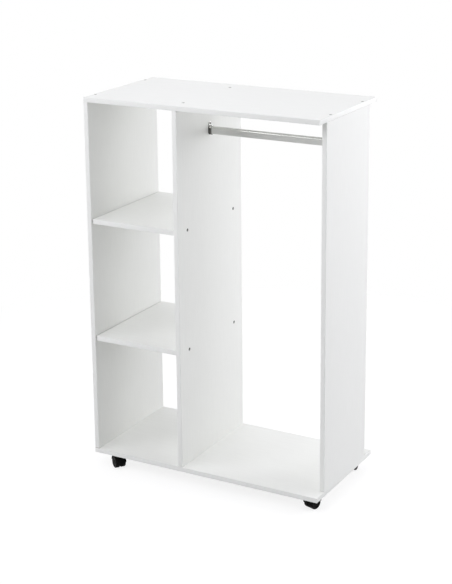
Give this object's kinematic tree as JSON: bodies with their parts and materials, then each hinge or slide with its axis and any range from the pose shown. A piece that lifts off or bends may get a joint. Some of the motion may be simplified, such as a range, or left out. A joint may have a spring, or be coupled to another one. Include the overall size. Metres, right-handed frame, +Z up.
{
  "type": "open wardrobe",
  "caption": "Open wardrobe on castors: a shelf column beside a hanging bay with an oval clothes rail, white boards, open at front and back.",
  "frame": {"origin": "on the floor below the middle of the carcass", "axes": "+Z up, front towards -Y, shelf column towards -X"},
  "size_m": [0.8, 0.4, 1.225],
  "materials": {
    "white_board": "white melamine facing on particleboard, satin",
    "white_edging": "white edging strip, satin",
    "rail_metal": "plated steel tube, satin bright",
    "socket_metal": "plated zinc casting, satin",
    "screw_steel": "zinc plated steel",
    "castor_steel": "zinc plated steel, pressed",
    "castor_plastic": "black moulded plastic, fine grain",
    "castor_wheel": "black moulded wheel, satin tread"
  },
  "bodies": {
    "carcass": {"bottom_panel": "white_board", "bottom_panel_edging": "white_edging", "clothes_rail": "rail_metal", "divider_connector_screws": "screw_steel", "divider_panel": "white_board", "divider_panel_edging": "white_edging", "front_left_castor_kingpin": "castor_steel", "front_left_castor_plate": "castor_steel", "front_left_castor_screws": "screw_steel", "front_right_castor_kingpin": "castor_steel", "front_right_castor_plate": "castor_steel", "front_right_castor_screws": "screw_steel", "left_side_connector_screws": "screw_steel", "left_side_panel": "white_board", "left_side_panel_edging": "white_edging", "lower_shelf": "white_board", "lower_shelf_edging": "white_edging", "rail_socket_left": "socket_metal", "rail_socket_right": "socket_metal", "rail_socket_screws_left": "screw_steel", "rail_socket_screws_right": "screw_steel", "rear_left_castor_kingpin": "castor_steel", "rear_left_castor_plate": "castor_steel", "rear_left_castor_screws": "screw_steel", "rear_right_castor_kingpin": "castor_steel", "rear_right_castor_plate": "castor_steel", "rear_right_castor_screws": "screw_steel", "right_side_connector_screws": "screw_steel", "right_side_panel": "white_board", "right_side_panel_edging": "white_edging", "top_panel": "white_board", "top_panel_edging": "white_edging", "upper_shelf": "white_board", "upper_shelf_edging": "white_edging"},
    "front_left_fork": {"front_left_castor_hood": "castor_plastic", "front_left_castor_axle": "castor_steel"},
    "front_left_wheel_left": {"front_left_castor_wheel_left": "castor_wheel"},
    "front_left_wheel_right": {"front_left_castor_wheel_right": "castor_wheel"},
    "front_right_fork": {"front_right_castor_hood": "castor_plastic", "front_right_castor_axle": "castor_steel"},
    "front_right_wheel_left": {"front_right_castor_wheel_left": "castor_wheel"},
    "front_right_wheel_right": {"front_right_castor_wheel_right": "castor_wheel"},
    "rear_left_fork": {"rear_left_castor_hood": "castor_plastic", "rear_left_castor_axle": "castor_steel"},
    "rear_left_wheel_left": {"rear_left_castor_wheel_left": "castor_wheel"},
    "rear_left_wheel_right": {"rear_left_castor_wheel_right": "castor_wheel"},
    "rear_right_fork": {"rear_right_castor_hood": "castor_plastic", "rear_right_castor_axle": "castor_steel"},
    "rear_right_wheel_left": {"rear_right_castor_wheel_left": "castor_wheel"},
    "rear_right_wheel_right": {"rear_right_castor_wheel_right": "castor_wheel"}
  },
  "joints": [
    {"name": "front_left_swivel", "type": "hinge", "parent": "carcass", "child": "front_left_fork", "pos_m": [-0.348, -0.154, 0.046], "axis": [0, 0, 1], "continuous": true},
    {"name": "front_left_wheel_left_spin", "type": "hinge", "parent": "front_left_fork", "child": "front_left_wheel_left", "pos_m": [-0.33263, -0.16517, 0.02], "axis": [-0.5878, -0.809, 0], "continuous": true},
    {"name": "front_left_wheel_right_spin", "type": "hinge", "parent": "front_left_fork", "child": "front_left_wheel_right", "pos_m": [-0.33263, -0.16517, 0.02], "axis": [-0.5878, -0.809, 0], "continuous": true},
    {"name": "front_right_swivel", "type": "hinge", "parent": "carcass", "child": "front_right_fork", "pos_m": [0.348, -0.154, 0.046], "axis": [0, 0, 1], "continuous": true},
    {"name": "front_right_wheel_left_spin", "type": "hinge", "parent": "front_right_fork", "child": "front_right_wheel_left", "pos_m": [0.35387, -0.13593, 0.02], "axis": [0.9511, -0.309, 0], "continuous": true},
    {"name": "front_right_wheel_right_spin", "type": "hinge", "parent": "front_right_fork", "child": "front_right_wheel_right", "pos_m": [0.35387, -0.13593, 0.02], "axis": [0.9511, -0.309, 0], "continuous": true},
    {"name": "rear_left_swivel", "type": "hinge", "parent": "carcass", "child": "rear_left_fork", "pos_m": [-0.348, 0.154, 0.046], "axis": [0, 0, 1], "continuous": true},
    {"name": "rear_left_wheel_left_spin", "type": "hinge", "parent": "rear_left_fork", "child": "rear_left_wheel_left", "pos_m": [-0.33997, 0.13678, 0.02], "axis": [-0.9063, -0.4226, 0], "continuous": true},
    {"name": "rear_left_wheel_right_spin", "type": "hinge", "parent": "rear_left_fork", "child": "rear_left_wheel_right", "pos_m": [-0.33997, 0.13678, 0.02], "axis": [-0.9063, -0.4226, 0], "continuous": true},
    {"name": "rear_right_swivel", "type": "hinge", "parent": "carcass", "child": "rear_right_fork", "pos_m": [0.348, 0.154, 0.046], "axis": [0, 0, 1], "continuous": true},
    {"name": "rear_right_wheel_left_spin", "type": "hinge", "parent": "rear_right_fork", "child": "rear_right_wheel_left", "pos_m": [0.34634, 0.17293, 0.02], "axis": [0.9962, 0.0872, 0], "continuous": true},
    {"name": "rear_right_wheel_right_spin", "type": "hinge", "parent": "rear_right_fork", "child": "rear_right_wheel_right", "pos_m": [0.34634, 0.17293, 0.02], "axis": [0.9962, 0.0872, 0], "continuous": true}
  ]
}
